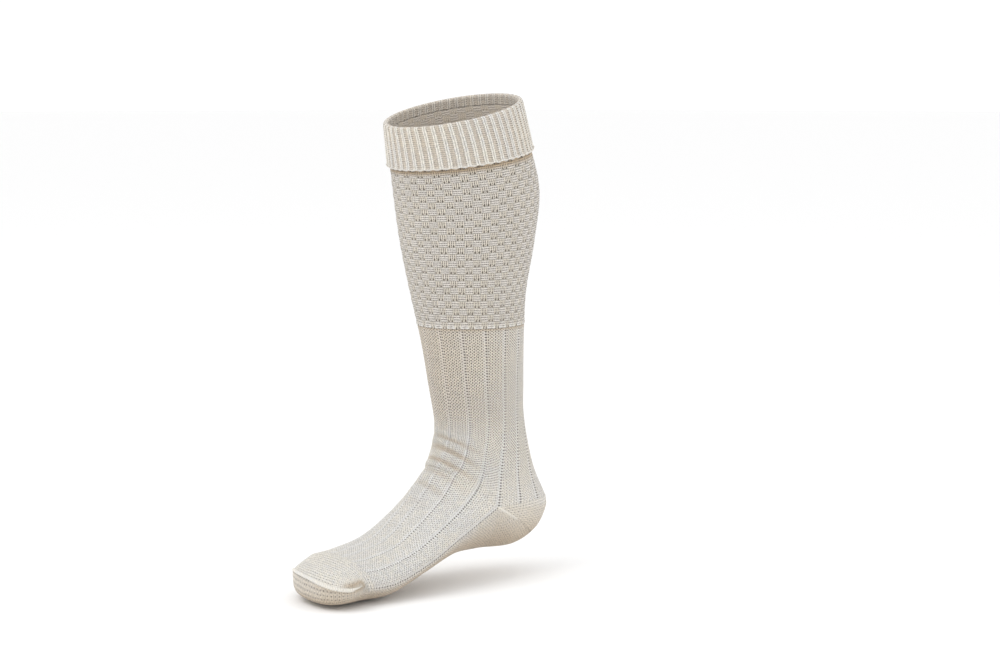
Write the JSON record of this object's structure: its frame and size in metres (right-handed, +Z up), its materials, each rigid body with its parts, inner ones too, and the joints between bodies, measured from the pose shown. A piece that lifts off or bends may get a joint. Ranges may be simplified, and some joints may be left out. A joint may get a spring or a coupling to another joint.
{
  "type": "kilt hose sock",
  "caption": "Knee-high knitted kilt hose sock, shown worn, with a turned-over ribbed cuff, basket-stitch calf, ribbed leg and foot, heel pocket and toe.",
  "frame": {"origin": "middle of the leg opening at the top of the turned-over cuff", "axes": "+Z up the leg, -Y towards the toe, +X towards the inner side of the right foot"},
  "size_m": [0.138, 0.2519, 0.3928],
  "materials": {
    "cuff_knit": "matt off-white wool, ribbed",
    "basket_knit": "matt off-white wool, basket stitch",
    "rib_knit": "matt off-white wool, wide ribs",
    "plain_knit": "matt off-white wool, plain stocking stitch",
    "seam_yarn": "matt off-white wool yarn, linked"
  },
  "bodies": {
    "root": {"turnover_cuff": "cuff_knit", "calf_panel": "basket_knit", "ribbed_leg": "rib_knit", "ribbed_foot": "rib_knit", "heel_pocket": "plain_knit", "toe_pocket": "plain_knit", "toe_seam": "seam_yarn"}
  },
  "joints": []
}
